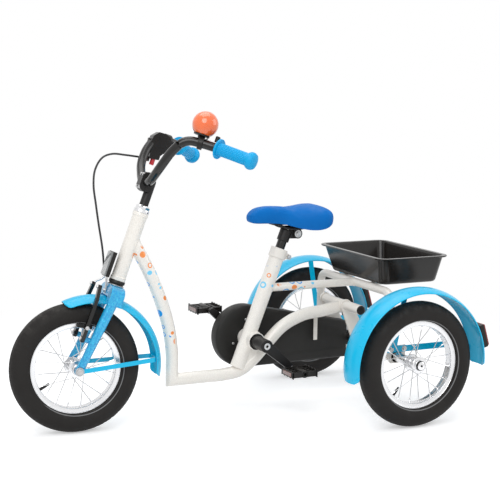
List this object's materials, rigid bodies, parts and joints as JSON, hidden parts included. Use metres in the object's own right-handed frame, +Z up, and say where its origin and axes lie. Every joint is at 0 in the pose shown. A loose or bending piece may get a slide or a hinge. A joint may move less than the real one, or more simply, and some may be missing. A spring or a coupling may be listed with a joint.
{
  "type": "tricycle",
  "caption": "Child's adaptive tricycle with a low step-through frame, steered front wheel, chain-driven rear axle, sprung bell, hand brake, fenders and rear basket.",
  "frame": {"origin": "on the ground, under the centre of the bounding box", "axes": "+X to the rider's left, +Y to the back, +Z up; the tricycle rolls forwards along -Y"},
  "size_m": [0.638, 1.1502, 0.7731],
  "materials": {
    "frame_paint": "cream pearl gloss paint",
    "fork_paint": "blue glitter gloss paint",
    "fender_paint": "bright blue gloss paint",
    "black_steel": "satin black coating",
    "chrome": "polished chrome",
    "steel": "zinc plated",
    "alloy": "bright machined",
    "tyre_rubber": "black tyre rubber with a grey sidewall band",
    "black_plastic": "glossy black",
    "grip_rubber": "soft blue, fluted",
    "pad_rubber": "black brake rubber",
    "cable_sheath": "black cable sheath",
    "saddle_cover": "two-tone blue cover",
    "bell_shell": "orange gloss",
    "button_red": "red",
    "reflector_red": "red reflector lens in a black holder",
    "reflector_clear": "clear reflector lens"
  },
  "bodies": {
    "frame": {"main_frame": "frame_paint", "upper_stay": "frame_paint", "lower_stay": "frame_paint", "carrier_hoop": "frame_paint", "axle_carrier": "frame_paint", "headset_cup_lower": "black_steel", "headset_cup_upper": "chrome", "bottom_bracket_bearing": "steel", "chain_case": "black_plastic", "chain": "steel", "rear_fender_left": "fender_paint", "rear_fender_right": "fender_paint", "rear_reflector_left": "reflector_red", "rear_reflector_right": "reflector_red", "basket": "black_plastic", "seat_clamp": "frame_paint"},
    "fork": {"fork": "fork_paint", "front_fender": "fender_paint", "front_fender_stay": "fender_paint", "front_reflector": "reflector_clear", "front_axle": "steel", "brake_cable": "cable_sheath"},
    "stem": {"stem": "black_steel", "stem_cap": "black_steel"},
    "handlebar": {"handlebar": "black_steel", "grip_left": "grip_rubber", "grip_right": "grip_rubber", "lever_housing": "black_plastic", "bell_base": "black_plastic", "bell_dome": "bell_shell"},
    "bell_thumb": {"bell_thumb": "steel"},
    "brake_lever": {"brake_lever": "black_plastic"},
    "park_button": {"park_button": "button_red"},
    "brake_arm_left": {"brake_arm_left": "black_steel", "brake_pad_left": "pad_rubber"},
    "brake_arm_right": {"brake_arm_right": "black_steel", "brake_pad_right": "pad_rubber"},
    "front_wheel": {"front_tyre": "tyre_rubber", "front_rim": "alloy", "front_hub": "alloy"},
    "rear_wheel_left": {"rear_tyre_left": "tyre_rubber", "rear_rim_left": "alloy", "rear_hub_left": "alloy"},
    "drive_axle": {"drive_axle": "steel", "rear_sprocket": "steel", "rear_tyre_right": "tyre_rubber", "rear_rim_right": "alloy", "rear_hub_right": "alloy", "hub_cap_left": "black_plastic"},
    "cranks": {"crank_spindle": "steel", "chainring": "steel", "crank_left": "black_steel", "crank_right": "black_steel"},
    "pedal_left": {"pedal_left": "black_plastic"},
    "pedal_right": {"pedal_right": "black_plastic"},
    "seat_post": {"seat_post": "black_steel", "saddle_clamp": "black_steel"},
    "saddle": {"saddle_base": "black_steel", "saddle_pad": "saddle_cover"}
  },
  "joints": [
    {"name": "steering", "type": "hinge", "parent": "frame", "child": "fork", "pos_m": [0, -0.31046, 0.36402], "axis": [0, 0.3518, 0.9361], "range_deg": [-39.2, 50.8]},
    {"name": "front_wheel_spin", "type": "hinge", "parent": "fork", "child": "front_wheel", "pos_m": [-0.00287, -0.41829, 0.15745], "axis": [0.9949, -0.0946, 0.0356], "continuous": true},
    {"name": "stem_height", "type": "slide", "parent": "fork", "child": "stem", "axis": [0, 0.3518, 0.9361], "range_m": [-0.02, 0.05], "deforming": ["brake_cable"]},
    {"name": "handlebar_tilt", "type": "hinge", "parent": "stem", "child": "handlebar", "pos_m": [-0.00152, -0.23788, 0.59954], "axis": [0.9949, -0.0946, 0.0356], "range_deg": [-15, 15], "deforming": ["brake_cable"]},
    {"name": "brake_lever", "type": "hinge", "parent": "handlebar", "child": "brake_lever", "pos_m": [-0.14903, -0.17091, 0.68654], "axis": [0, -0.3518, -0.9361], "range_deg": [0, 10], "stiffness_Nm_per_rad": 2, "springref_deg": -5.73},
    {"name": "brake_arm_left", "type": "hinge", "parent": "fork", "child": "brake_arm_left", "pos_m": [0.03734, -0.4103, 0.23489], "axis": [-0.1011, -0.9313, 0.35], "range_deg": [0, 2.7]},
    {"name": "brake_arm_right", "type": "hinge", "parent": "fork", "child": "brake_arm_right", "pos_m": [-0.04623, -0.40235, 0.2319], "axis": [0.1011, 0.9313, -0.35], "range_deg": [0, 2.7]},
    {"name": "park_button", "type": "slide", "parent": "handlebar", "child": "park_button", "axis": [0, 0.3518, 0.9361], "range_m": [0, 0.003], "stiffness_N_per_m": 400, "springref_m": -0.001},
    {"name": "bell_thumb", "type": "hinge", "parent": "handlebar", "child": "bell_thumb", "pos_m": [0.13499, -0.1355, 0.70849], "axis": [0, 0.3518, 0.9361], "range_deg": [0, 20], "stiffness_Nm_per_rad": 0.05, "springref_deg": -5.73},
    {"name": "rear_wheel_left_spin", "type": "hinge", "parent": "frame", "child": "rear_wheel_left", "pos_m": [0.283, 0.36357, 0.1575], "axis": [1, 0, 0], "continuous": true},
    {"name": "axle_spin", "type": "hinge", "parent": "frame", "child": "drive_axle", "pos_m": [0, 0.36357, 0.1575], "axis": [1, 0, 0], "continuous": true},
    {"name": "crank_spin", "type": "hinge", "parent": "frame", "child": "cranks", "pos_m": [0, 0.04957, 0.188], "axis": [1, 0, 0], "continuous": true},
    {"name": "pedal_left_spin", "type": "hinge", "parent": "cranks", "child": "pedal_left", "pos_m": [0.132, 0.12127, 0.12567], "axis": [1, 0, 0], "continuous": true},
    {"name": "pedal_right_spin", "type": "hinge", "parent": "cranks", "child": "pedal_right", "pos_m": [-0.132, -0.02212, 0.25033], "axis": [1, 0, 0], "continuous": true},
    {"name": "seat_height", "type": "slide", "parent": "frame", "child": "seat_post", "axis": [0, 0.362, 0.9322], "range_m": [-0.019, 0.06]},
    {"name": "saddle_tilt", "type": "hinge", "parent": "seat_post", "child": "saddle", "pos_m": [0, 0.17357, 0.456], "axis": [1, 0, 0], "range_deg": [-8, 8]}
  ],
  "couplings": [
    {"joint": "crank_spin", "follows": "axle_spin", "ratio": 0.44444},
    {"joint": "brake_arm_left", "follows": "brake_lever", "ratio": 0.27},
    {"joint": "brake_arm_right", "follows": "brake_lever", "ratio": 0.27}
  ]
}
